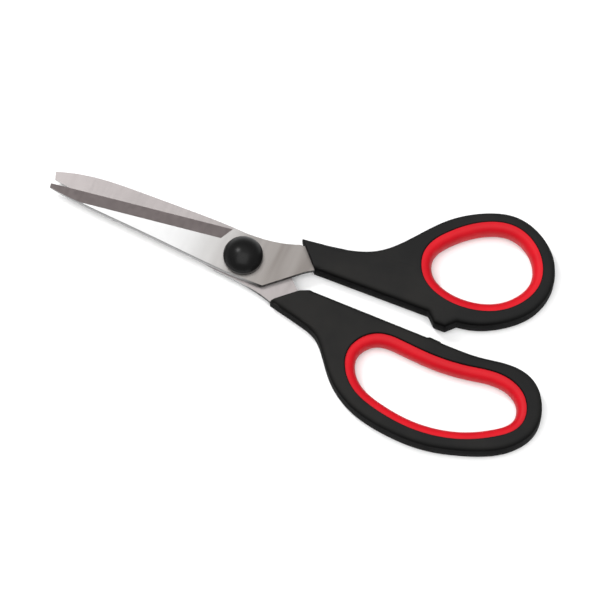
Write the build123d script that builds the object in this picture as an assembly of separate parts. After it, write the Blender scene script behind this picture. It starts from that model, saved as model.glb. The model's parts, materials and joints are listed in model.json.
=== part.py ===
from build123d import *
import os
from math import cos, radians, sin, sqrt

# Sewing scissors with moulded loop handles: two ground blades on one pivot.
# Frame: the pivot axis is Z through the origin, z = 0 is the table the scissors lie on, the points
# are towards -X and the handles towards +X. Each half is drawn closed, with its cutting line along X,
# and is then turned by half of the opening that the scissors lie at. Millimetres and degrees.

# ------------------------------------------------------------------ overall sizes
blade_reach = 82.5          # pivot axis to the blunt points
thumb_reach = 118.0         # pivot axis to the far end of the thumb loop
finger_reach = 135.0        # pivot axis to the far end of the finger loop
handle_thickness = 11.0     # both handles, and the height they lie at on a table
rest_opening = 4.0          # angle between the halves as they lie

# ------------------------------------------------------------------ blades
blade_thickness = 2.0
blade_gap = 0.1             # between the two inner faces, set by the pivot
edge_land = 0.35            # thickness left along the cutting edge
bevel_width = 5.4           # ground bevel, from the cutting edge to the grind line
bevel_runout = 60.0         # direction of the bevel's end by the pivot, from X
spine_break = 0.35          # broken corner along the back of each blade
heel_x = 11.0               # end of the back, beyond the pivot
tang_end_round = 2.5
lock_hole_radius = 2.0      # hole in the tang that the handle's plastic fills
lock_hole_setback = 9.0     # from the tang's end
lock_hole_line = 11.3       # from the closing line

# ------------------------------------------------------------------ handles and grips
edge_round = 2.5            # outer edges of both handles
mouth_round = 0.8           # edges around each loop
grip_width = 4.0            # soft insert, from the handle to the hole
grip_crown = 3.4            # rounding of the insert towards the fingers
crown_share = 0.9           # of the insert's half height, the most that its rounding takes
thumb_grip_sink = 0.7       # the inserts lie this far below the handles' faces
finger_grip_sink = 1.2
grip_rib_depth = 1.2        # rib around the insert that locks it in the handle
grip_rib_height = 2.0
loop_steps = 40             # points on a widened loop's curve
tang_cover = 7.5            # plastic between the tang's end and the insert
stop_line = 0.85            # where the stop lug meets the other handle, above the closing line
stop_clearance = 0.2        # between the two stop blocks when the points are closed
stop_inset = 1.6            # the stop blocks stand back from the handles' faces

# ------------------------------------------------------------------ pivot
shank_radius = 2.6
pivot_clearance = 0.04      # between the shank and the front blade's bore
shank_flat = 2.1            # half width across the two flats in the rear blade
thread_radius = 1.9
head_radius = 4.6
head_height = 2.4
head_edge = 0.4             # chamfer around the head
slot_width = 1.0
slot_depth = 1.0
slip_washer_thickness = 0.5
slip_clearance = 0.05       # between the slip washer and the turning blade
nut_across_flats = 7.0
washer_clearance = 0.1      # between the thread and the disc spring's bore
tension_washer_radius = 4.0
tension_washer_height = 0.6
tension_washer_sheet = 0.3
cap_radius = 7.85
cap_skirt = 1.9
cap_dome = 4.7
cap_shoulder = 0.7          # rounding between the skirt and the dome
cap_clearance = 0.2         # between the cap's rim and the turning blade
rear_cap_floor = 1.0
rear_cap_wall = 2.1
rear_cap_edge = 0.6
nut_clearance = 0.36        # between the rear cap and the corners of the nut

# ------------------------------------------------------------------ sizes and places worked out from them
mid_height = handle_thickness / 2
inner_face = mid_height + blade_gap / 2
blade_top = inner_face + blade_thickness
rear_face = mid_height - blade_gap / 2 - blade_thickness
head_seat = blade_top + slip_clearance + slip_washer_thickness
head_top = head_seat + head_height
nut_corner = nut_across_flats / sqrt(3)
rear_cap_cavity = max(nut_corner, tension_washer_radius) + nut_clearance
rear_cap_radius = rear_cap_cavity + rear_cap_wall
thumb_centre = (thumb_reach - 28.0, 30.5)
finger_centre = (finger_reach - 43.0, -20.0)


def flipped_over(shape):
    """Turn a front piece over about X at mid height, which makes it a rear one."""
    return shape.rotate(Axis((0, 0, mid_height), (1, 0, 0)), 180)


def opened(shape, half):
    """Turn a closed half (+1 front, -1 rear) to the opening that the scissors lie at."""
    return shape.rotate(Axis.Z, half * rest_opening / 2)


def about(centre, offsets):
    """Points given from a loop's centre."""
    return [(centre[0] + x, centre[1] + y) for x, y in offsets]


def heading(start, end):
    """Direction from one point to another."""
    return (Vector(*end) - Vector(*start)).normalized()


def held_spline(points, first_way, last_way):
    """A curve through the points that leaves and arrives in the given directions."""
    return Spline(*points, tangents=[first_way, last_way], tangent_scalars=[1, 1])


def prism(face, low, high):
    return Pos(0, 0, low) * extrude(face, high - low)


def rod(radius, low, high):
    return prism(Circle(radius), low, high)


# ------------------------------------------------------------------ loops: the holes and the handles' outlines
def thumb_hole():
    """Slanted egg, its broad end towards the far end of the handle."""
    offsets = [(19.2, 0.5), (14.8, 10.9), (5.0, 15.6), (-5.2, 12.8), (-15.3, 4.7), (-19.9, -3.3)]
    offsets += [(-17.5, -10.4), (-10.1, -14.6), (0.0, -15.3), (9.0, -12.8), (15.5, -7.7)]
    return make_face(Spline(*about(thumb_centre, offsets), periodic=True))


def finger_hole():
    """Long bean for three or four fingers, its narrow end towards the pivot."""
    offsets = [(-33.5, 1.5), (-28.9, 8.9), (-20.0, 10.3), (-7.0, 10.1), (10.0, 12.3), (23.0, 14.1)]
    offsets += [(30.5, 10.7), (32.9, 4.2), (27.4, -2.7), (13.4, -10.3), (-2.0, -13.2), (-16.8, -12.0)]
    offsets += [(-26.8, -8.7), (-32.0, -3.5)]
    return make_face(Spline(*about(finger_centre, offsets), periodic=True))


def widened(hole, gap):
    """A hole's outline moved outwards by a gap, as one smooth closed curve."""
    rim = hole.edges()[0]
    middle = hole.center()
    points = []
    for step in range(loop_steps):
        point = rim.position_at(step / loop_steps)
        tangent = rim.tangent_at(step / loop_steps)
        outward = Vector(tangent.Y, -tangent.X)
        if outward.dot(point - middle) < 0:
            outward = -outward
        points.append(point + outward * gap)
    return make_face(Spline(*points, periodic=True))


def thumb_outline():
    """Beak and straight underside by the pivot, then once around the loop. Also gives the sharp wall."""
    beak = (19.1, 15.1)
    front_foot = (28.4, 4.8)
    under = (thumb_centre[0] - 4.0, 4.5)
    loop = [under] + about(thumb_centre, [(7.4, -24.0), (14.4, -20.5), (24.4, -11.3), (28.2, 0.5)])
    loop += about(thumb_centre, [(25.1, 12.1), (16.8, 20.2), (5.3, 24.0), (-9.3, 20.2), (-19.6, 13.4)])
    loop += about(thumb_centre, [(-29.0, 3.0)]) + [(48.1, 21.0), (38.0, 17.4), beak]
    edges = Polyline(beak, front_foot, under)
    edges += held_spline(loop, heading(front_foot, under), Vector(-1, -0.08))
    return make_face(edges.edges()), [(beak, front_foot)]


def finger_outline():
    """Slanted front, down around the loop and back along the straight top edge. Also the sharp walls."""
    front_top = (26.6, -4.3)
    front_low = (17.8, -12.8)
    neck_low = (29.8, -15.0)
    top_end = (finger_centre[0] - 4.0, 0.5)
    neck_top = (31.3, -1.8)
    loop = [neck_low, (39.9, -18.1)]
    loop += about(finger_centre, [(-47.8, -2.0), (-39.2, -11.6), (-26.4, -19.1), (-11.2, -21.8)])
    loop += about(finger_centre, [(4.9, -21.2), (21.2, -16.4), (36.2, -7.7), (42.5, 3.0), (40.4, 14.5)])
    loop += about(finger_centre, [(33.2, 22.0), (24.4, 23.9), (11.0, 21.7)])
    loop += [top_end]
    edges = held_spline(loop, heading(front_low, neck_low), heading(top_end, neck_top))
    edges += Polyline(top_end, neck_top, front_top, front_low, neck_low)
    return make_face(edges.edges()), [(front_top, front_low), (neck_top, front_top)]


def stop_block(start, end, top, base):
    """Low block on a handle's inner edge. The two blocks meet when the scissors close."""
    ramp = abs(base - top)
    plan = Polyline((start - ramp, base), (start, top), (end, top), (end + ramp, base), close=True)
    return prism(make_face(plan.edges()), stop_inset, handle_thickness - stop_inset)


def thumb_stop():
    start = thumb_centre[0] - 10.0
    return stop_block(start, start + 4.8, stop_line + stop_clearance / 2, 7.5)


def finger_stop():
    start = finger_centre[0] - 11.2
    return stop_block(start, start + 5.0, stop_line - stop_clearance / 2, -3.5)


# ------------------------------------------------------------------ blades
def blade_blank(point_edge, point_back, back, edge_heel, shoulder, tang_end):
    """Flat blank, cutting edge upwards: blade, pivot boss and the tang that the handle is moulded on."""
    heel = (heel_x, -9.0)
    throat = (25.0, 2.8)
    tang_top = (31.0, shoulder[1] + 0.7)
    edges = Line(point_edge, edge_heel)
    edges += Spline(edge_heel, (1.0, 9.5), (10.0, 10.3), shoulder)
    edges += Polyline(shoulder, tang_top, (tang_end, 14.6), (tang_end, 8.2), (32.0, 7.2), throat)
    edges += Line(throat, heel)
    edges += Spline(heel, *back, point_back)
    edges += Line(point_back, point_edge)
    face = make_face(edges.edges())
    tang_corners = face.vertices().filter_by_position(Axis.X, tang_end - 0.1, tang_end + 0.1)
    return fillet(tang_corners, tang_end_round)


def bevel_cutter(point_edge, edge_heel):
    """The metal that grinding takes off the outer face, ending in a slanted run-out by the pivot."""
    start = Vector(*point_edge, inner_face)
    along = (Vector(*edge_heel, inner_face) - start).normalized()
    across = Vector(-along.Y, along.X, 0)
    slope = (blade_thickness - edge_land) / bevel_width
    outside = 2.0
    lift = blade_thickness + slope * outside
    section = Polyline(
        (outside, edge_land - slope * outside),
        (outside, lift),
        (-bevel_width - outside, lift),
        close=True,
    )
    plane = Plane(origin=start, x_dir=across, z_dir=across.cross(Vector(0, 0, 1)))
    wedge = extrude(plane * make_face(section.edges()), blade_reach * 2, both=True)
    run = Vector(cos(radians(bevel_runout)), sin(radians(bevel_runout)))
    high = Vector(*edge_heel) + run * bevel_width
    low = Vector(*edge_heel) - run * blade_reach / 2
    far = -blade_reach * 2
    plan = Polyline((high.X, high.Y), (low.X, low.Y), (far, low.Y), (far, high.Y), close=True)
    return wedge & prism(make_face(plan.edges()), inner_face - 1, blade_top + lift)


def lock_hole(tang_end):
    return Pos(tang_end - lock_hole_setback, lock_hole_line) * Circle(lock_hole_radius)


def ground_blade(blank, point_edge, edge_heel, bore):
    """Front-side blade: blank, broken back corner, ground bevel, pivot bore and locking hole."""
    solid = prism(blank, inner_face, blade_top)
    back = solid.edges().filter_by_position(Axis.Z, blade_top - 0.01, blade_top + 0.01)
    back = back.filter_by(lambda edge: edge.center().Y < -1.5 and edge.length > blade_reach / 2)
    solid = chamfer(back, spine_break)
    solid -= bevel_cutter(point_edge, edge_heel)
    solid -= prism(bore, inner_face - 1, blade_top + 1)
    return solid


def front_blade(tang_end):
    point_edge = (-blade_reach, 1.4)
    point_back = (0.4 - blade_reach, -0.6)
    edge_heel = (-7.6, 9.7)
    back = [(0.0, -8.8), (-0.37 * blade_reach, -6.2), (-0.62 * blade_reach, -4.3), (-0.86 * blade_reach, -2.4)]
    blank = blade_blank(point_edge, point_back, back, edge_heel, (19.0, 12.7), tang_end)
    bore = Circle(shank_radius + pivot_clearance)
    return ground_blade(blank, point_edge, edge_heel, bore + lock_hole(tang_end))


def flatted_shank():
    return Circle(shank_radius) & Rectangle(shank_flat * 2, shank_radius * 3)


def rear_blade(tang_end):
    """The broader blade. Its bore has two flats, which stop the screw from turning."""
    point_edge = (0.9 - blade_reach, 2.2)
    point_back = (-0.4 - blade_reach, -1.0)
    edge_heel = (-8.5, 9.2)
    back = [(0.0, -9.9), (-0.37 * blade_reach, -8.9), (-0.61 * blade_reach, -7.5), (-0.8 * blade_reach, -5.8)]
    back += [(-0.92 * blade_reach, -3.5)]
    blank = blade_blank(point_edge, point_back, back, edge_heel, (18.3, 12.2), tang_end)
    bore = flatted_shank() + lock_hole(tang_end)
    return flipped_over(ground_blade(blank, point_edge, edge_heel, bore))


# ------------------------------------------------------------------ handles and grips
def soft_grip(hole, sink):
    """Soft ring seated in a handle's loop, crowned towards the fingers, with a locking rib outside."""
    seat = widened(hole, grip_width)
    ring = prism(seat - hole, sink, handle_thickness - sink)
    hole_length = hole.edges()[0].length
    inner = ring.edges().filter_by(lambda edge: abs(edge.length - hole_length) < 0.5)
    ring = fillet(inner, min(grip_crown, crown_share * (handle_thickness / 2 - sink)))
    rib = widened(hole, grip_width + grip_rib_depth) - seat
    return ring + prism(rib, mid_height - grip_rib_height / 2, mid_height + grip_rib_height / 2)


def loop_handle(outline, sharp_walls, stop, hole, grip, blade):
    """Moulded handle: rounded except at its front, with a stop, a loop and the tang's pocket."""
    sharp = [(Vector(*start) + Vector(*end)) / 2 for start, end in sharp_walls]

    def is_rounded(edge):
        place = edge.center()
        return all((Vector(place.X, place.Y) - middle).length > 0.1 for middle in sharp)

    body = prism(outline, 0, handle_thickness)
    rims = body.edges().filter_by(Plane.XY).filter_by(is_rounded)
    body = fillet(rims, edge_round) + stop
    seat = widened(hole, grip_width)
    body -= prism(seat, -1, handle_thickness + 1)
    seat_length = seat.edges()[0].length
    mouth = body.edges().filter_by(lambda edge: abs(edge.length - seat_length) < 0.5)
    body = fillet(mouth, mouth_round)
    return body - grip - blade


# ------------------------------------------------------------------ pivot
def pivot_screw():
    """Shoulder screw from the front: slotted head, round shank, flats in the rear blade, thread."""
    screw = rod(head_radius, head_seat, head_top)
    screw = chamfer(screw.edges().filter_by(GeomType.CIRCLE).group_by(Axis.Z)[-1], head_edge)
    screw -= Pos(0, 0, head_top - slot_depth / 2) * Box(head_radius * 3, slot_width, slot_depth)
    screw += rod(shank_radius, inner_face, head_seat)
    screw += prism(flatted_shank(), rear_face, inner_face)
    return screw + rod(thread_radius, rear_cap_floor, rear_face)


def pivot_nut():
    """Thin hexagon nut that the disc spring bears on."""
    top = rear_face - tension_washer_height
    nut = prism(RegularPolygon(nut_corner, 6), rear_cap_floor, top)
    return nut - rod(thread_radius, 0, rear_face)


def tension_washer():
    """Disc spring: a shallow cone of thin sheet between the nut and the rear blade."""
    low = rear_face - tension_washer_height
    bore = thread_radius + washer_clearance
    profile = Polyline(
        (bore, low),
        (tension_washer_radius, rear_face - tension_washer_sheet),
        (tension_washer_radius, rear_face),
        (bore, low + tension_washer_sheet),
        close=True,
    )
    return revolve(Plane.XZ * make_face(profile.edges()), Axis.Z)


def slip_washer():
    """Plastic washer under the screw's head, so that the front blade turns freely."""
    low = blade_top + slip_clearance
    return rod(head_radius, low, head_seat) - rod(shank_radius, low, head_seat)


def pivot_cap():
    """Domed cover pressed over the screw's head."""
    low = blade_top + cap_clearance
    rim = low + cap_skirt
    crown = rim + cap_dome
    dome_radius = (cap_radius ** 2 + cap_dome ** 2) / (2 * cap_dome)
    half_way = crown - dome_radius + sqrt(dome_radius ** 2 - (cap_radius / 2) ** 2)
    edges = Polyline((0, crown), (0, low), (cap_radius, low), (cap_radius, rim))
    edges += ThreePointArc((cap_radius, rim), (cap_radius / 2, half_way), (0, crown))
    dome = revolve(Plane.XZ * make_face(edges.edges()), Axis.Z)
    dome = fillet(dome.edges().filter_by_position(Axis.Z, rim - 0.01, rim + 0.01), cap_shoulder)
    return dome - rod(head_radius, low - 1, head_top)


def rear_cap():
    """Flat button over the nut. Its face lies level with the undersides of the handles."""
    cap = rod(rear_cap_radius, 0, rear_face)
    cap = fillet(cap.edges().filter_by(GeomType.CIRCLE).group_by(Axis.Z)[0], rear_cap_edge)
    return cap - rod(rear_cap_cavity, rear_cap_floor, rear_face + 1)


# ------------------------------------------------------------------ the scissors
def front_half():
    hole = thumb_hole()
    hole_start = hole.bounding_box().min.X
    blade = front_blade(hole_start - grip_width - tang_cover)
    grip = soft_grip(hole, thumb_grip_sink)
    handle = loop_handle(*thumb_outline(), thumb_stop(), hole, grip, blade)
    return {"front_blade": blade, "thumb_grip": grip, "thumb_handle": handle}


def rear_half():
    hole = finger_hole()
    hole_start = hole.bounding_box().min.X
    blade = rear_blade(hole_start - grip_width - tang_cover)
    grip = soft_grip(hole, finger_grip_sink)
    handle = loop_handle(*finger_outline(), finger_stop(), hole, grip, blade)
    return {"rear_blade": blade, "finger_grip": grip, "finger_handle": handle}


def pivot():
    return {
        "pivot_screw": pivot_screw(),
        "pivot_nut": pivot_nut(),
        "tension_washer": tension_washer(),
        "slip_washer": slip_washer(),
        "pivot_cap": pivot_cap(),
        "rear_cap": rear_cap(),
    }


# The screw's flats sit in the rear blade's bore, so the pivot's pieces turn with the rear half.
nodes = {name: opened(solid, 1) for name, solid in front_half().items()}
nodes.update({name: opened(solid, -1) for name, solid in rear_half().items()})
nodes.update({name: opened(solid, -1) for name, solid in pivot().items()})

os.makedirs("parts", exist_ok=True)
for name, solid in nodes.items():
    export_step(solid, f"parts/{name}.step")
    box = solid.bounding_box()
    print(f"{name:16s} {solid.volume:9.1f} mm3   {box.size.X:7.2f} {box.size.Y:7.2f} {box.size.Z:6.2f}")
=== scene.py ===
# %% [markdown]
# # Sewing shears
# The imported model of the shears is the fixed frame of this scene. It holds every piece at its real size:
# two steel blades, two moulded handles with soft rings in their loops, and the pivot's screw, nut,
# washers and caps. Each cell below makes one piece or one finish around that frame.

# %% Load the frame
import json

import bmesh
import bpy
import numpy as np
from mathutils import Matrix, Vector


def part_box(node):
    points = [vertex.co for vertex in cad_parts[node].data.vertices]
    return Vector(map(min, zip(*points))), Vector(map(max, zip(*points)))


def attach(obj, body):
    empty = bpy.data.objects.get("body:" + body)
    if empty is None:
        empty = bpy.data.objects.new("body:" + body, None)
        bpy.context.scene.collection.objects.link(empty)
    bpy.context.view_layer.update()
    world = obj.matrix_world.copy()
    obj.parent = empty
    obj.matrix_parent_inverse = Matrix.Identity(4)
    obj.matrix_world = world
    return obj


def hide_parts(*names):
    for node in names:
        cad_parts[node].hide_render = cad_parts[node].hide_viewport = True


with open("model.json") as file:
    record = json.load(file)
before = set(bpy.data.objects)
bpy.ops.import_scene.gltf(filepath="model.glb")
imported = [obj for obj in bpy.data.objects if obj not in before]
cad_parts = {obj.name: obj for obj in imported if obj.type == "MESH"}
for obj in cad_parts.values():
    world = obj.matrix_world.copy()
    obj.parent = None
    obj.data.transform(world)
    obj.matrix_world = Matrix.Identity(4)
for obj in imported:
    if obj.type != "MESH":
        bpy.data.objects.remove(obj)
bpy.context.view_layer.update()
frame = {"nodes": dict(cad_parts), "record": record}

nodes = frame["nodes"]
pivot = frame["record"]["behaviour"]["joints"][0]
print("frame:", len(nodes), "nodes, pivot at", pivot["pos_m"], "range", pivot["range_deg"])

# %% [markdown]
# ## Shared measures
# Each half of the shears is drawn closed, with its cutting line along X, as a maker's drawing would
# show it. Then it is turned about the pivot by half of the opening that the shears lie at. The pivot's
# lower limit is the closed position, so the opening is read from there.

# %% Shared measures
MM = 0.001
half_opening = np.radians(-pivot["range_deg"][0] / 2)
mid_height = pivot["pos_m"][2] / MM
thumb_low, thumb_high = (np.array(corner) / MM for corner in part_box("thumb_handle"))
handle_half = (thumb_high[2] - thumb_low[2]) / 2
# The front half turns anticlockwise as seen from above, the rear half clockwise.
FRONT, REAR = 1, -1


def turned(flat, half):
    """Points of a closed half, in mm, turned about the pivot to where the shears lie."""
    angle = half * half_opening
    turn = np.array([[np.cos(angle), -np.sin(angle)], [np.sin(angle), np.cos(angle)]])
    return flat @ turn.T


print(f"opening {np.degrees(2 * half_opening):.1f} degrees, handles {2 * handle_half:.1f} mm thick")

# %% [markdown]
# ## Curves
# The handles' outlines are straight runs joined by one smooth curve. A cubic spline whose parameter is
# the distance between its points bends as a thin batten does, which is how such outlines are drawn.
# Its slopes come from one small set of linear equations. A Bezier curve in the Curve editor would look
# the same, but each of its points needs two handles set by hand, and numbers are easier to change.


# %% Cubic spline
def unit(way):
    """A direction, made one long."""
    way = np.array(way, float)
    return way / np.linalg.norm(way)


def spline(points, count, first_way=None, last_way=None):
    """A cubic through the points with matching slope and bend at each, as count points.

    The slopes m solve m[i-1]/h[i-1] + 2 m[i] (1/h[i-1] + 1/h[i]) + m[i+1]/h[i] =
    3 (rise[i-1]/h[i-1] + rise[i]/h[i]), with h the chord lengths. With no end directions it is closed.
    """
    points = np.array(points, float)
    closed = first_way is None
    if closed:
        points = np.vstack([points, points[:1]])
    chord = np.linalg.norm(np.diff(points, axis=0), axis=1)
    rise = np.diff(points, axis=0) / chord[:, None]
    last = len(points) - 1
    inner = np.arange(1, last)
    matrix = np.zeros((last + 1, last + 1))
    right = np.zeros((last + 1, 2))
    matrix[inner, inner - 1] = 1 / chord[:-1]
    matrix[inner, inner] = 2 / chord[:-1] + 2 / chord[1:]
    matrix[inner, inner + 1] = 1 / chord[1:]
    right[inner] = 3 * (rise[:-1] / chord[:-1, None] + rise[1:] / chord[1:, None])
    matrix[0, 0] = 1
    if closed:
        matrix[0, last] = -1
        matrix[last, [0, 1]] = [2 / chord[0], 1 / chord[0]]
        matrix[last, [last - 1, last]] = [1 / chord[-1], 2 / chord[-1]]
        right[last] = 3 * (rise[0] / chord[0] + rise[-1] / chord[-1])
    else:
        matrix[last, last] = 1
        right[0] = unit(first_way)
        right[last] = unit(last_way)
    slope = np.linalg.solve(matrix, right)
    knot = np.concatenate([[0], np.cumsum(chord)])
    at = np.linspace(0, knot[-1], count, endpoint=not closed)
    span = np.clip(np.searchsorted(knot, at, side="right") - 1, 0, last - 1)
    length = chord[span][:, None]
    share = (at - knot[span])[:, None] / length
    left = 1 - share
    start = points[span] * (1 + 2 * share) * left ** 2 + slope[span] * length * share * left ** 2
    end = points[span + 1] * share ** 2 * (1 + 2 * left) - slope[span + 1] * length * share ** 2 * left
    return start + end


def straight(start, end, count):
    """Points along a straight run, without its last one."""
    share = np.linspace(0, 1, count, endpoint=False)[:, None]
    return np.array(start) * (1 - share) + np.array(end) * share


def outward(loop):
    """Unit normals of a closed loop of points, away from its middle."""
    along = np.roll(loop, -1, axis=0) - np.roll(loop, 1, axis=0)
    normal = np.stack([along[:, 1], -along[:, 0]], axis=1)
    normal /= np.linalg.norm(normal, axis=1)[:, None]
    inwards = np.sum(normal * (loop - loop.mean(axis=0))) < 0
    return -normal if inwards else normal


turn = np.radians(np.arange(0, 360, 45))
ring = spline(np.stack([np.cos(turn), np.sin(turn)], axis=1), 360)
print(f"a circle through 8 points is off by {abs(np.linalg.norm(ring, axis=1) - 1).max():.4f} of its radius")

# %% [markdown]
# ## From a grid of points to a mesh
# Every made surface here is a grid: rows that run round the piece and columns that run across it. The
# faces are the same for all of them, so one helper joins the grid, wraps it where it closes on itself,
# merges the poles, and makes sure that the faces look outwards by the sign of the volume. Whole arrays
# go into the mesh at once with foreach_set, which is far quicker than adding faces one by one.


# %% Grid to mesh
def signed_volume(points, quads):
    """Sum of the volumes between the origin and each face's two triangles."""
    corner = points[quads]
    first = np.cross(corner[:, 1], corner[:, 2])
    second = np.cross(corner[:, 2], corner[:, 3])
    return np.sum(corner[:, 0] * (first + second)) / 6


def grid_piece(name, grid, wrap_across=True):
    """Grid of shape (around, across, 3) in mm, closed around, to a smooth object in metres."""
    around, across, _ = grid.shape
    index = np.arange(around * across).reshape(around, across)
    ahead = np.roll(index, -1, axis=0)
    if wrap_across:
        here, next_row = index, ahead
        side, next_side = np.roll(index, -1, axis=1), np.roll(ahead, -1, axis=1)
    else:
        here, next_row = index[:, :-1], ahead[:, :-1]
        side, next_side = index[:, 1:], ahead[:, 1:]
    quads = np.stack([here, next_row, next_side, side], axis=-1).reshape(-1, 4)
    points = grid.reshape(-1, 3) * MM
    if signed_volume(points - points.mean(axis=0), quads) < 0:
        quads = quads[:, ::-1]
    mesh = bpy.data.meshes.new(name)
    mesh.vertices.add(len(points))
    mesh.vertices.foreach_set("co", points.ravel())
    mesh.loops.add(quads.size)
    mesh.loops.foreach_set("vertex_index", quads.ravel())
    mesh.polygons.add(len(quads))
    mesh.polygons.foreach_set("loop_start", np.arange(0, quads.size, 4))
    mesh.update(calc_edges=True)
    merge_doubles(mesh)
    mesh.polygons.foreach_set("use_smooth", np.ones(len(mesh.polygons), bool))
    piece = bpy.data.objects.new(name, mesh)
    bpy.context.scene.collection.objects.link(piece)
    print(f"{name}: {len(mesh.vertices)} points, {len(mesh.polygons)} faces")
    return piece


def merge_doubles(mesh, apart=1e-7):
    """Joins points that lie within that many metres, which closes poles and seams."""
    work = bmesh.new()
    work.from_mesh(mesh)
    bmesh.ops.remove_doubles(work, verts=work.verts, dist=apart)
    work.to_mesh(mesh)
    work.free()
    mesh.update()


# %% [markdown]
# ## The two loops
# The thumb's hole is a slanted egg and the fingers' hole is a long bean. Both are closed splines through
# a few points, given from the loop's middle. The soft ring's seat in the handle is the same curve,
# moved outwards by the ring's width, so that ring and handle meet all the way round.

# %% The two loops
GRIP_WIDTH = 4.0
THUMB_MIDDLE = np.array([90.0, 30.5])
FINGER_MIDDLE = np.array([92.0, -20.0])

thumb_hole = spline(THUMB_MIDDLE + np.array([
    (19.2, 0.5), (14.8, 10.9), (5.0, 15.6), (-5.2, 12.8), (-15.3, 4.7), (-19.9, -3.3),
    (-17.5, -10.4), (-10.1, -14.6), (0.0, -15.3), (9.0, -12.8), (15.5, -7.7),
]), 300)
finger_hole = spline(FINGER_MIDDLE + np.array([
    (-33.5, 1.5), (-28.9, 8.9), (-20.0, 10.3), (-7.0, 10.1), (10.0, 12.3), (23.0, 14.1), (30.5, 10.7),
    (32.9, 4.2), (27.4, -2.7), (13.4, -10.3), (-2.0, -13.2), (-16.8, -12.0), (-26.8, -8.7), (-32.0, -3.5),
]), 360)
thumb_seat = thumb_hole + outward(thumb_hole) * GRIP_WIDTH
finger_seat = finger_hole + outward(finger_hole) * GRIP_WIDTH
for title, hole in (("thumb", thumb_hole), ("finger", finger_hole)):
    print(title, "hole spans", np.ptp(hole, axis=0).round(1), "mm")

# %% [markdown]
# ## The handles' outlines
# Each outline starts with the slanted front wall that the steel comes out of. The thumb's handle has a
# straight underside with a small stop lug, and the fingers' handle meets it with a low land. The lug and
# the land are pushed out of the finished outline by a formula: flat on top, with 45 degree ramps.
# The points could be traced by hand in Edit Mode instead, but a formula keeps the stops' faces flat and
# the gap between them exact.

# %% The handles' outlines
BEAK, FOOT = (19.1, 15.1), (28.4, 4.8)
FRONT_TOP, FRONT_LOW = (26.6, -4.3), (17.8, -12.8)
STOP_LINE, STOP_GAP = 0.85, 0.2
# Along X from each loop's middle: where its straight edge ends, where its stop starts and how wide that is.
STRAIGHT_END = -4.0
LUG_START, LUG_WIDTH = -10.0, 4.8
LAND_START, LAND_WIDTH = -11.2, 5.0
STOP_REACH = 7
# How many points each run of an outline gets. The front walls come first in both.
THUMB_FRONT, THUMB_UNDER, THUMB_ROUND = 36, 130, 520
FINGER_TOP, FINGER_FRONT, FINGER_LOW, FINGER_ROUND, FINGER_EDGE = 14, 44, 30, 560, 150


def bump_out(outline, start, end, level, side):
    """Raises the outline to level between start and end, with 45 degree ramps. side is +1 or -1 in Y."""
    x, y = outline.T
    ramp = np.maximum(0, np.maximum(start - x, x - end))
    raised = side * np.maximum(side * y, side * level - ramp)
    near = (ramp < STOP_REACH) & (abs(y - level) < STOP_REACH)
    return np.stack([x, np.where(near, raised, y)], axis=1)


def thumb_outline():
    """Front wall, underside, then the curve round the loop and back along the neck to the beak."""
    under = (THUMB_MIDDLE[0] + STRAIGHT_END, 4.5)
    around = THUMB_MIDDLE + np.array([
        (7.4, -24.0), (14.4, -20.5), (24.4, -11.3), (28.2, 0.5), (25.1, 12.1),
        (16.8, 20.2), (5.3, 24.0), (-9.3, 20.2), (-19.6, 13.4), (-29.0, 3.0),
    ])
    loop = [under, *around, (48.1, 21.0), (38.0, 17.4), BEAK]
    curve = spline(loop, THUMB_ROUND, np.subtract(under, FOOT), (-1, -0.08))
    outline = np.vstack([
        straight(BEAK, FOOT, THUMB_FRONT), straight(FOOT, under, THUMB_UNDER), curve[:-1],
    ])
    lug = THUMB_MIDDLE[0] + LUG_START
    return bump_out(outline, lug, lug + LUG_WIDTH, STOP_LINE + STOP_GAP / 2, -1)


def finger_outline():
    """Front walls, the curve down and round the loop, then the straight top edge."""
    neck_low, neck_top = (29.8, -15.0), (31.3, -1.8)
    top_end = (FINGER_MIDDLE[0] + STRAIGHT_END, 0.5)
    around = FINGER_MIDDLE + np.array([
        (-47.8, -2.0), (-39.2, -11.6), (-26.4, -19.1), (-11.2, -21.8), (4.9, -21.2), (21.2, -16.4),
        (36.2, -7.7), (42.5, 3.0), (40.4, 14.5), (33.2, 22.0), (24.4, 23.9), (11.0, 21.7),
    ])
    loop = [neck_low, (39.9, -18.1), *around, top_end]
    curve = spline(loop, FINGER_ROUND, np.subtract(neck_low, FRONT_LOW), np.subtract(neck_top, top_end))
    outline = np.vstack([
        straight(neck_top, FRONT_TOP, FINGER_TOP),
        straight(FRONT_TOP, FRONT_LOW, FINGER_FRONT - FINGER_TOP),
        straight(FRONT_LOW, neck_low, FINGER_LOW),
        curve[:-1],
        straight(top_end, neck_top, FINGER_EDGE),
    ])
    land = FINGER_MIDDLE[0] + LAND_START
    return bump_out(outline, land, land + LAND_WIDTH, STOP_LINE - STOP_GAP / 2, 1)


for title, outline in (("thumb", thumb_outline()), ("finger", finger_outline())):
    print(title, "outline", len(outline), "points, spans", np.ptp(outline, axis=0).round(1), "mm")

# %% [markdown]
# ## Moulded handles
# A moulded handle is a plate with generous rounded edges, a faint crown on its faces, and a parting line
# round its wall where the two halves of the mould met. Rounding such an outline with a bevel tool breaks
# at the sharp beak, so here the height of the face is a function of the distance to the outline: zero at
# the edge, a quarter circle inwards, then nearly flat. The same function rounds the mouth of the loop.

# %% Moulded handles
EDGE_ROUND = 2.5
FRONT_ROUND = 0.6
MOUTH_ROUND = 0.9
CROWN = 0.25
CROWN_REACH = 9.0
DRAFT = 0.12
# Rays start inside each loop, from a point that the whole outline can be seen from.
THUMB_RAYS, FINGER_RAYS = np.array([88.0, 22.0]), np.array([76.0, -21.0])
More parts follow.
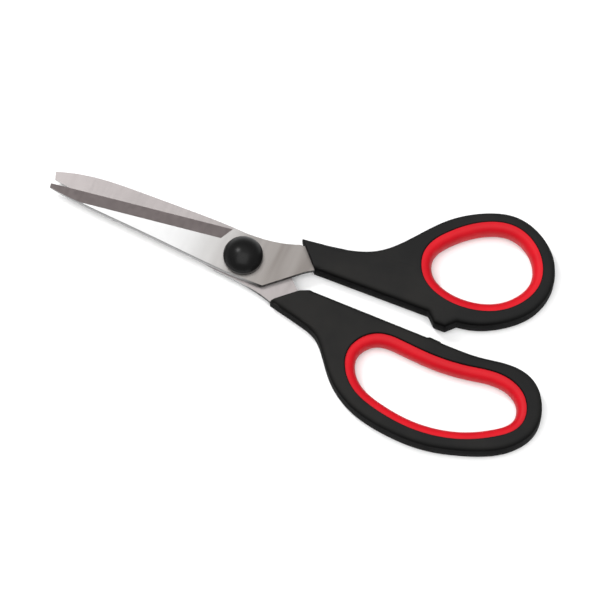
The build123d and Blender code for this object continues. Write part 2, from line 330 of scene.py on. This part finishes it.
# Rows of points: at the mouth of the loop, on the open face, at the outer edge, and on the two walls.
MOUTH_ROWS, FACE_ROWS, EDGE_ROWS = 9, 11, 13
WALL_ROWS, SEAT_ROWS = 7, 3
# On a ray that meets the outline at a slant the rounding takes up more length. These limit how much.
LEAST_SLANT, MOST_EDGE = 0.3, 0.45


def distance_to(line, points, closed=False, block=4000):
    """Shortest distance from each point to a run of straight segments, a block of points at a time."""
    start = line if closed else line[:-1]
    step = (np.roll(line, -1, axis=0) if closed else line[1:]) - start
    size = np.maximum(np.sum(step ** 2, axis=1), 1e-12)
    best = np.full(len(points), np.inf)
    for first in range(0, len(points), block):
        away = points[first:first + block, None] - start[None]
        share = np.clip(np.sum(away * step, axis=2) / size, 0, 1)
        gap = away - share[..., None] * step
        best[first:first + block] = np.sqrt(np.sum(gap ** 2, axis=2).min(axis=1))
    return best


def rounding(distance, radius):
    """How far a quarter circle of that radius has dropped at a distance from the edge."""
    inside = np.clip(radius - distance, 0, radius)
    return radius - np.sqrt(radius ** 2 - inside ** 2)


def ray_rows(outline, seat, middle):
    """Points from the seat to the outline along rays from the middle, close together at both edges."""
    ray = outline - middle
    reach = np.linalg.norm(ray, axis=1)
    ray /= reach[:, None]
    seat_ray = seat - middle
    seat_angle = np.arctan2(seat_ray[:, 1], seat_ray[:, 0])
    order = np.argsort(seat_angle)
    seat_reach = np.linalg.norm(seat_ray, axis=1)
    angle = np.arctan2(ray[:, 1], ray[:, 0])
    inner = np.interp(angle, seat_angle[order], seat_reach[order], period=2 * np.pi)
    slant = np.clip(abs(np.sum(ray * outward(outline), axis=1)), LEAST_SLANT, 1)[:, None]
    width = (reach - inner)[:, None] - DRAFT / slant
    near_seat = MOUTH_ROUND * (1 - np.cos(np.linspace(0, np.pi / 2, MOUTH_ROWS))) * np.ones_like(width)
    crowded = 1 - np.sin(np.linspace(0, np.pi / 2, EDGE_ROWS))
    near_edge = width - np.minimum(EDGE_ROUND / slant, MOST_EDGE * width) * crowded
    between = np.linspace(0, 1, FACE_ROWS + 2)[1:-1]
    middle_rows = near_seat[:, -1:] * (1 - between) + near_edge[:, :1] * between
    rows = np.hstack([near_seat, middle_rows, near_edge])
    return middle + ray[:, None] * (inner[:, None] + rows)[..., None]


def moulded_handle(name, outline, front_count, seat, middle, half):
    """Closed ring: top face from the seat to the outline, drafted wall, under face and the seat's wall.

    The height of a face point is half the thickness, less a quarter circle's drop near each edge and
    less a crown that falls with the square of the distance from the handle's spine.
    """
    flat = ray_rows(outline, seat, middle)
    shape = flat.shape[:2]
    points = flat.reshape(-1, 2)
    front = outline[:front_count + 1]
    rest = np.vstack([outline[front_count:], outline[:1]])
    from_rest = distance_to(rest, points)
    drop = rounding(from_rest - DRAFT, EDGE_ROUND)
    drop = np.maximum(drop, rounding(distance_to(front, points), FRONT_ROUND))
    drop = np.maximum(drop, rounding(distance_to(seat, points, closed=True), MOUTH_ROUND))
    drop += CROWN * np.clip(1 - from_rest / CROWN_REACH, 0, 1) ** 2
    height = (handle_half - drop).reshape(shape)
    share = np.linspace(1, -1, WALL_ROWS + 2)[1:-1]
    wall = outline[:, None] - outward(outline)[:, None] * DRAFT * abs(share)[None, :, None]
    seat_wall = np.repeat(flat[:, :1], SEAT_ROWS, axis=1)
    seat_share = np.linspace(-1, 1, SEAT_ROWS + 2)[1:-1]
    grid = np.hstack([
        np.dstack([flat, height]),
        np.dstack([wall, height[:, -1:] * share]),
        np.dstack([flat[:, ::-1], -height[:, ::-1]]),
        np.dstack([seat_wall, height[:, :1] * seat_share]),
    ])
    grid[..., :2] = turned(grid[..., :2], half)
    grid[..., 2] += mid_height
    return grid_piece(name, grid)


thumb_handle = moulded_handle(
    "thumb_handle_shell", thumb_outline(), THUMB_FRONT, thumb_seat, THUMB_RAYS, FRONT)
finger_handle = moulded_handle(
    "finger_handle_shell", finger_outline(), FINGER_FRONT, finger_seat, FINGER_RAYS, REAR)
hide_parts("thumb_handle")
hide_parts("finger_handle")
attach(thumb_handle, "front_half")
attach(finger_handle, "rear_half")

# %% [markdown]
# ## Soft rings
# The red rings are a softer plastic, moulded into the loops after the handles. Their section is full and
# round towards the fingers, and square where it sits in the handle. A bevelled curve could carry such a
# section too, but it tilts and pinches on tight bends. Here the section follows the hole's own normals,
# so it stands upright everywhere.

# %% Soft rings
SEATED = 0.25
RING_CROWN, SQUARENESS = 3.5, 2.3
CROWN_POINTS, SIDE_POINTS, BACK_POINTS = 37, 3, 5


def ring_section(half_height):
    """Half a rounded oval towards the hole, then a flat back: distance from the hole, and height.

    The oval is |1 - out / crown| ** s + |up / half height| ** s = 1 with s a little above a circle's 2.
    """
    turn = np.linspace(-np.pi / 2, np.pi / 2, CROWN_POINTS)
    out = RING_CROWN * (1 - np.cos(turn) ** (2 / SQUARENESS))
    up = half_height * np.sign(np.sin(turn)) * abs(np.sin(turn)) ** (2 / SQUARENESS)
    back = GRIP_WIDTH + SEATED
    side_out = np.linspace(RING_CROWN, back, SIDE_POINTS + 1)[1:]
    side_up = np.full(SIDE_POINTS, half_height)
    back_up = np.linspace(half_height, -half_height, BACK_POINTS + 2)[1:-1]
    out = np.concatenate([out, side_out, np.full(BACK_POINTS, back), side_out[::-1]])
    up = np.concatenate([up, side_up, back_up, -side_up])
    return out, up


def soft_ring(name, node, hole, half):
    """The section carried round the hole: point = hole + normal x distance, height = middle + up."""
    low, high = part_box(node)
    out, up = ring_section((high[2] - low[2]) / MM / 2)
    flat = hole[:, None] + outward(hole)[:, None] * out[None, :, None]
    height = np.broadcast_to(mid_height + up, flat.shape[:2])
    return grid_piece(name, np.dstack([turned(flat, half), height]))


thumb_grip = soft_ring("thumb_grip_ring", "thumb_grip", thumb_hole, FRONT)
finger_grip = soft_ring("finger_grip_ring", "finger_grip", finger_hole, REAR)
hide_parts("thumb_grip")
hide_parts("finger_grip")
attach(thumb_grip, "front_half")
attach(finger_grip, "rear_half")

# %% [markdown]
# ## Pivot cap
# The cap is turned about the pivot: a short skirt, a soft shoulder and a shallow dome, with a cavity for
# the screw's head below. A squashed sphere would be too round at the rim. The Screw modifier would turn
# the same profile, but here the profile is carried round in one array, and merged at its two poles.

# %% Pivot cap
CAP_SKIRT, CAP_SHOULDER = 1.9, 0.8
RIM_EASE = 0.25
CAP_SIDES = 120
DOME_POINTS, SHOULDER_POINTS, SKIRT_POINTS = 26, 7, 4


def pivot_cap():
    """Profile (radius, height) turned about Z: dome, shoulder arc, skirt, rim and the cavity."""
    low, high = (np.array(corner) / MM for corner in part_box("pivot_cap"))
    head_radius, _, head_top = np.array(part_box("pivot_screw")[1]) / MM
    radius = high[0]
    rim = low[2] + CAP_SKIRT
    dome = high[2] - rim
    ball = (radius ** 2 + dome ** 2) / (2 * dome)
    out = np.linspace(0, radius - CAP_SHOULDER / 2, DOME_POINTS)
    up = high[2] - ball + np.sqrt(ball ** 2 - out ** 2)
    turn = np.linspace(np.pi / 4, 0, SHOULDER_POINTS)
    shoulder_out = radius - CAP_SHOULDER + CAP_SHOULDER * np.cos(turn)
    shoulder_up = rim - CAP_SHOULDER / 2 + CAP_SHOULDER * np.sin(turn)
    skirt_up = np.linspace(shoulder_up[-1], low[2] + RIM_EASE, SKIRT_POINTS + 1)[1:]
    cavity_out = [radius - RIM_EASE, head_radius, head_radius, 0]
    cavity_up = [low[2], low[2], head_top, head_top]
    out = np.concatenate([out, shoulder_out, np.full(SKIRT_POINTS, radius), cavity_out])
    up = np.concatenate([up, shoulder_up, skirt_up, cavity_up])
    around = np.linspace(0, 2 * np.pi, CAP_SIDES, endpoint=False)[:, None]
    height = np.broadcast_to(up, (CAP_SIDES, len(up)))
    grid = np.stack([out * np.cos(around), out * np.sin(around), height], axis=-1)
    return grid_piece("pivot_cap_dome", grid, wrap_across=False)


cap = pivot_cap()
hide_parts("pivot_cap")
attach(cap, "rear_half")

# %% [markdown]
# ## Helpers for finishes
# Every finish is a small node graph in object space. It could be wired by hand in the Shader editor, but
# each builder below adds one node and returns its output, so that a finish reads as a short recipe:
# grain, then wear, then colour, roughness and bump.


# %% Node helpers
def new_finish(name):
    """An empty material with a Principled shader, and its node tree."""
    material = bpy.data.materials.new(name)
    material.use_nodes = True
    tree = material.node_tree
    return material, tree, tree.nodes["Principled BSDF"]


def set_input(tree, socket, value):
    """Links an output to an input, or writes a constant on it."""
    if isinstance(value, bpy.types.NodeSocket):
        tree.links.new(value, socket)
    else:
        socket.default_value = value


def place(tree, scale=(1, 1, 1), turn=0.0, shift=(0, 0, 0)):
    """Object coordinates, moved, turned about Z and stretched."""
    source = tree.nodes.new("ShaderNodeTexCoord")
    mapping = tree.nodes.new("ShaderNodeMapping")
    mapping.inputs["Location"].default_value = shift
    mapping.inputs["Rotation"].default_value = (0, 0, turn)
    mapping.inputs["Scale"].default_value = scale
    tree.links.new(source.outputs["Object"], mapping.inputs["Vector"])
    return mapping.outputs["Vector"]


def noise(tree, vector, scale, detail=4.0, roughness=0.55):
    """Cloudy grain from 0 to 1, with about scale blotches to a metre."""
    node = tree.nodes.new("ShaderNodeTexNoise")
    node.inputs["Scale"].default_value = scale
    node.inputs["Detail"].default_value = detail
    node.inputs["Roughness"].default_value = roughness
    tree.links.new(vector, node.inputs["Vector"])
    return node.outputs["Fac"]


def spread(tree, value, low, high, to_low=0.0, to_high=1.0):
    """Maps a range of values to another with soft ends."""
    node = tree.nodes.new("ShaderNodeMapRange")
    node.interpolation_type = "SMOOTHSTEP"
    for name, number in (("From Min", low), ("From Max", high), ("To Min", to_low), ("To Max", to_high)):
        node.inputs[name].default_value = number
    set_input(tree, node.inputs["Value"], value)
    return node.outputs["Result"]


def maths(tree, kind, first, second=0.0):
    """One sum on two numbers or outputs."""
    node = tree.nodes.new("ShaderNodeMath")
    node.operation = kind
    set_input(tree, node.inputs[0], first)
    set_input(tree, node.inputs[1], second)
    return node.outputs[0]


def blend_colours(tree, share, first, second):
    """The first colour where share is 0, the second where it is 1."""
    node = tree.nodes.new("ShaderNodeMix")
    node.data_type = "RGBA"
    set_input(tree, node.inputs["Factor"], share)
    set_input(tree, node.inputs["A"], first)
    set_input(tree, node.inputs["B"], second)
    return node.outputs["Result"]


def bump(tree, height, strength, distance):
    """A normal that is tilted by the slope of height, which stands for distance metres."""
    node = tree.nodes.new("ShaderNodeBump")
    node.inputs["Strength"].default_value = strength
    node.inputs["Distance"].default_value = distance
    tree.links.new(height, node.inputs["Height"])
    return node.outputs["Normal"]


def axis_of(tree, vector, axis):
    """One of a vector's three numbers."""
    node = tree.nodes.new("ShaderNodeSeparateXYZ")
    tree.links.new(vector, node.inputs["Vector"])
    return node.outputs[axis]


def grey(level, tint=(1.0, 1.0, 1.0)):
    """A linear colour of that level with a slight tint."""
    return (level * tint[0], level * tint[1], level * tint[2], 1.0)


# %% [markdown]
# ## Plastics
# The handles are hard black plastic with the fine spark-eroded texture that most handle moulds have: it
# hides finger marks and gives a broad, dim sheen. Hands polish the texture a little, so the roughness
# falls in large soft patches. The rings are a softer red rubber with a satin skin, and the cap is plain
# glossy plastic. Painted image textures would need unwrapped pieces. Noise in object space needs none,
# and stays as fine as the real texture however near one looks.


# %% Plastics
def faces_over_shaded_walls(tree, low, high):
    """1 where a surface faces up or down, 0 on standing walls, where the handles get their painted shade."""
    source = tree.nodes.new("ShaderNodeTexCoord")
    upright = maths(tree, "ABSOLUTE", axis_of(tree, source.outputs["Normal"], "Z"))
    return spread(tree, upright, low, high)


def handle_plastic():
    """Spark texture all over and worn patches on the faces; the standing walls are painted near-black, a
    painted shade where they face away from the light.
    """
    material, tree, shader = new_finish("handle_plastic")
    flat = place(tree)
    texture = noise(tree, flat, 2600, 3, 0.6)
    patches = noise(tree, flat, 45, 3)
    worn = spread(tree, patches, 0.35, 0.7)
    face = blend_colours(tree, worn, grey(0.0125), grey(0.0165, (1.0, 0.97, 0.93)))
    # Painted shade: the standing walls are near-black and the faces keep their own colour.
    colour = blend_colours(tree, faces_over_shaded_walls(tree, 0.25, 0.95), grey(0.0015), face)
    set_input(tree, shader.inputs["Base Color"], colour)
    set_input(tree, shader.inputs["Roughness"], spread(tree, patches, 0.3, 0.75, 0.55, 0.65))
    set_input(tree, shader.inputs["Normal"], bump(tree, texture, 0.25, 0.00012))
    shader.inputs["Specular IOR Level"].default_value = 0.02
    return material


def grip_rubber():
    """Red through and through, a little deeper in soft patches, with a very fine satin grain."""
    material, tree, shader = new_finish("grip_rubber")
    flat = place(tree)
    texture = noise(tree, flat, 2200, 2, 0.5)
    patches = noise(tree, flat, 60, 3)
    shade = spread(tree, patches, 0.35, 0.7)
    red, deep_red = (0.47, 0.0055, 0.012, 1.0), (0.40, 0.004, 0.010, 1.0)
    set_input(tree, shader.inputs["Base Color"], blend_colours(tree, shade, deep_red, red))
    set_input(tree, shader.inputs["Roughness"], spread(tree, patches, 0.3, 0.75, 0.42, 0.52))
    set_input(tree, shader.inputs["Normal"], bump(tree, texture, 0.15, 0.0001))
    shader.inputs["Specular IOR Level"].default_value = 0.1
    return material


def cap_plastic(name):
    """Plain glossy black with hardly any texture, for the caps and the slip washer."""
    material, tree, shader = new_finish(name)
    flat = place(tree)
    texture = noise(tree, flat, 1800, 2, 0.5)
    patches = noise(tree, flat, 80, 3)
    set_input(tree, shader.inputs["Base Color"], blend_colours(tree, patches, grey(0.004), grey(0.007)))
    set_input(tree, shader.inputs["Roughness"], spread(tree, patches, 0.3, 0.75, 0.26, 0.32))
    set_input(tree, shader.inputs["Normal"], bump(tree, texture, 0.05, 0.00005))
    shader.inputs["Specular IOR Level"].default_value = 0.1
    return material


black_plastic = handle_plastic()
red_rubber = grip_rubber()
smooth_plastic = cap_plastic("cap_plastic")
slip_plastic = cap_plastic("slip_plastic")
for material in (black_plastic, red_rubber, smooth_plastic, slip_plastic):
    print(material.name, "has", len(material.node_tree.nodes), "nodes")

# %% [markdown]
# ## Steel
# The blades are ground across their length and then polished lightly, so their scratches run across the
# blade. The flat, the inner face and the bevel by the edge are ground in separate passes with different
# wheels, so each has its own grain. The Anisotropic socket alone could smear the reflections, but it
# draws no scratches. Noise that is stretched along the grinding draws them, in roughness and in bump.


# %% Steel
ACROSS = (1.0, 0.06, 1.0)
FLAT_GRIND, INNER_GRIND = np.radians(-20), np.radians(-16)


def brushed_steel(name, level, rough, tint, stretch, turn=0.0):
    """Steel with scratches drawn out along one direction, and faint cloudy marks from handling.

    The scratches run along the axis whose number in stretch is small, turned about Z by turn.
    """
    material, tree, shader = new_finish(name)
    across = place(tree, stretch, turn)
    grain = noise(tree, across, 900, 3, 0.6)
    clouds = noise(tree, place(tree), 32, 4, 0.6)
    shade = spread(tree, clouds, 0.3, 0.7)
    colour = blend_colours(tree, shade, grey(level * 0.92, tint), grey(level, tint))
    set_input(tree, shader.inputs["Base Color"], colour)
    set_input(tree, shader.inputs["Roughness"], spread(tree, grain, 0.3, 0.7, rough - 0.05, rough + 0.06))
    set_input(tree, shader.inputs["Normal"], bump(tree, grain, 0.18, 0.00006))
    shader.inputs["Metallic"].default_value = 1.0
    return material


def blade_face():
    """Polished steel towards the point, darker with faint cross bands from the pivot to the tang; the bands
    are marks, the darkening is a painted shade.
    """
    material, tree, shader = new_finish("blade_flat")
    along = axis_of(tree, place(tree), "X")
    grain = noise(tree, place(tree, ACROSS, FLAT_GRIND), 700, 3, 0.6)
    bands = noise(tree, place(tree, (1.0, 0.12, 0.1), FLAT_GRIND), 150, 2, 0.5)
    clouds = noise(tree, place(tree), 32, 4, 0.6)
    band = spread(tree, bands, 0.35, 0.65)
    shaded_banded_steel = blend_colours(tree, band, grey(0.162, (1.0, 0.91, 0.85)), grey(0.21, (1.0, 0.93, 0.88)))
    polish = blend_colours(tree, spread(tree, clouds, 0.3, 0.7), grey(0.46), grey(0.51))
    # Painted shade: the flat's colour darkens from just before the pivot to the tang, standing in for the
    # dimmer reflection there.
    painted_shade_to_tang = spread(tree, along, -0.035, 0.012)
    set_input(tree, shader.inputs["Base Color"], blend_colours(tree, painted_shade_to_tang, polish, shaded_banded_steel))
    set_input(tree, shader.inputs["Roughness"], spread(tree, grain, 0.3, 0.7, 0.3, 0.325))
    set_input(tree, shader.inputs["Normal"], bump(tree, grain, 0.03, 0.00002))
    shader.inputs["Metallic"].default_value = 1.0
    return material


def stamped_edge():
    """The blank's edge: steel grey as far as the pivot, near-black by the tang as a painted shade for the
    gap beside it, with torn roughness all along.
    """
    material, tree, shader = new_finish("blade_edge")
    along = axis_of(tree, place(tree), "X")
    tears = noise(tree, place(tree, (1.0, 1.0, 0.15)), 1100, 3, 0.6)
    # Near-black by the tang is a painted shade, the shadow in the gap under the front tang.
    colour = blend_colours(tree, spread(tree, along, 0.002, 0.012), grey(0.3), grey(0.015))
    set_input(tree, shader.inputs["Base Color"], colour)
    set_input(tree, shader.inputs["Roughness"], spread(tree, tears, 0.3, 0.7, 0.4, 0.6))
    set_input(tree, shader.inputs["Normal"], bump(tree, tears, 0.3, 0.00008))
    shader.inputs["Metallic"].default_value = 1.0
    return material


blade_flat = blade_face()
blade_inner = brushed_steel("blade_inner", 0.25, 0.36, (1.0, 0.92, 0.91), ACROSS, INNER_GRIND)
blade_bevel = brushed_steel("blade_bevel", 0.265, 0.36, (1.0, 0.86, 0.85), ACROSS, FLAT_GRIND)
blade_edge = stamped_edge()
pivot_steel = brushed_steel("pivot_steel", 0.70, 0.28, (1.0, 0.99, 0.97), (1.0, 1.0, 0.1))
spring_steel = brushed_steel("spring_steel", 0.55, 0.35, (1.0, 0.96, 0.9), (0.2, 1.0, 1.0))
for material in (blade_flat, blade_inner, blade_bevel, blade_edge, pivot_steel, spring_steel):
    print(material.name, "has", len(material.node_tree.nodes), "nodes")

# %% [markdown]
# ## Which finish goes where
# A material sits in a slot of the mesh, and every face names its slot. Most pieces are of one stuff, so
# they get one slot each. The blades follow in the next cell, because they have four.


# %% Which finish goes where
def coat(piece, *materials):
    """Gives a piece these materials, in this order, and no others."""
    piece.data.materials.clear()
    for material in materials:
        piece.data.materials.append(material)


for piece, material in (
    (thumb_handle, black_plastic), (finger_handle, black_plastic),
    (thumb_grip, red_rubber), (finger_grip, red_rubber), (cap, smooth_plastic),
    (nodes["rear_cap"], smooth_plastic), (nodes["slip_washer"], slip_plastic),
    (nodes["pivot_screw"], pivot_steel), (nodes["pivot_nut"], pivot_steel),
    (nodes["tension_washer"], spring_steel),
):
    coat(piece, material)
    print(piece.name, "is", material.name)

# %% [markdown]
# ## Blades
# The model's blades are flat plates with one ground bevel, and they need no new mesh, only their finish.
# The faces could be picked by hand in Edit Mode. Sorting them by the way they look does the same and
# can be repeated: a face that leans a little from the flat is the bevel, and one that stands upright is
# the plate's edge.

# %% Blades
LEVEL, LEANING = 0.99, 0.8


def finish_blade(blade):
    """Gives the outer face, the inner face, the ground bevel and the stamped edge their own finish."""
    coat(blade, blade_flat, blade_inner, blade_bevel, blade_edge)
    mesh = blade.data
    normals = np.empty(len(mesh.polygons) * 3)
    mesh.polygons.foreach_get("normal", normals)
    up = normals.reshape(-1, 3)[:, 2]
    outer = 1 if blade.name == "front_blade" else -1
    looks = up * outer
    slot = np.select([looks > LEVEL, looks < -LEVEL, looks > LEANING], [0, 1, 2], 3)
    mesh.polygons.foreach_set("material_index", slot.astype(np.int32))
    mesh.update()
    print(f"{blade.name}: {np.bincount(slot)} faces: outer, inner, bevel, edge")


finish_blade(nodes["front_blade"])
finish_blade(nodes["rear_blade"])

# %% [markdown]
# ## Floor
# The shears lie on a sheet of white paper. A plane is enough, since only its top shows. It is larger than
# the picture needs, so that its edges stay out of sight from every side.

# %% Floor
FLOOR_SIZE = 6.0

bpy.ops.mesh.primitive_plane_add(size=FLOOR_SIZE, location=(0, 0, 0))
floor = bpy.context.object
floor.name = "floor"
floor_material, tree, shader = new_finish("floor_paper")
fibres = noise(tree, place(tree), 90, 3)
set_input(tree, shader.inputs["Base Color"], blend_colours(tree, fibres, grey(0.86), grey(0.9)))
set_input(tree, shader.inputs["Roughness"], spread(tree, fibres, 0.3, 0.7, 0.75, 0.85))
shader.inputs["Specular IOR Level"].default_value = 0.2
coat(floor, floor_material)
print("floor", FLOOR_SIZE, "m wide")

# %% [markdown]
# ## Light
# Flat steel shows whatever stands opposite the viewer. The sky is bright overhead and darker towards the
# horizon, so the flats shine and the bevels, which lean away, read as a darker band. A sun lamp would
# give hard shadows and a hot spot on the cap. One broad panel above the handles fills the black plastic
# instead, and a small window on the left draws the cap's soft highlight.


# %% Light
def soft_panel(name, place_at, look_at, size, power):
    """A rectangular light of that size in metres and power in watts, turned to look at a point."""
    data = bpy.data.lights.new(name, "AREA")
    data.shape = "RECTANGLE"
    data.size, data.size_y = size
    data.energy = power
    panel = bpy.data.objects.new(name, data)
    panel.location = place_at
    panel.rotation_euler = (Vector(look_at) - Vector(place_at)).to_track_quat("-Z", "Y").to_euler()
    bpy.context.scene.collection.objects.link(panel)
    return panel


def sky():
    """Soft white above, darker towards the horizon. Generated coordinates of a world are directions."""
    world = bpy.data.worlds.new("studio")
    bpy.context.scene.world = world
    world.use_nodes = True
    tree = world.node_tree
    direction = tree.nodes.new("ShaderNodeTexCoord").outputs["Generated"]
    level = spread(tree, axis_of(tree, direction, "Z"), 0.55, 0.95, 0.4, 1.4)
    set_input(tree, tree.nodes["Background"].inputs["Strength"], level)
    tree.nodes["Background"].inputs["Color"].default_value = (1, 1, 1, 1)


sky()
for panel in (
    soft_panel("front_fill", place_at=(0.2, -0.7, 1.9), look_at=(0.02, 0, 0), size=(2.2, 2.2), power=40),
    soft_panel("left_window", place_at=(-0.75, 0.28, 1.2), look_at=(0, 0, 0), size=(0.3, 0.3), power=9),
):
    print(panel.name, "gives", panel.data.energy, "W")

# %% [markdown]
# ## Camera
# The shears are seen from above, a little from the front and turned. An orthographic camera would do for
# so flat a thing. A long lens from far away gives nearly the same picture, with the slight perspective
# that a real lens has, and its focal length follows from how wide the picture is at the shears.

# %% Camera
AZIMUTH, ELEVATION = np.radians(23.5), np.radians(70)
FRAME_WIDTH = 0.2362
LOOK_AT = Vector((0.0276, -0.0072, 0.0055))
FAR = 2.6
SENSOR = 36
back = Vector((
    np.sin(AZIMUTH) * np.cos(ELEVATION), -np.cos(AZIMUTH) * np.cos(ELEVATION), np.sin(ELEVATION),
))
camera_data = bpy.data.cameras.new("camera")
camera_data.sensor_width = SENSOR
camera_data.lens = SENSOR * FAR / FRAME_WIDTH
camera_data.clip_end = 20
camera = bpy.data.objects.new("camera", camera_data)
camera.location = LOOK_AT + back * FAR
camera.rotation_euler = back.to_track_quat("Z", "Y").to_euler()
bpy.context.scene.collection.objects.link(camera)
bpy.context.scene.camera = camera
bpy.context.scene.view_settings.view_transform = "Standard"
print("camera", [round(value, 3) for value in camera.location], "lens", round(camera_data.lens))
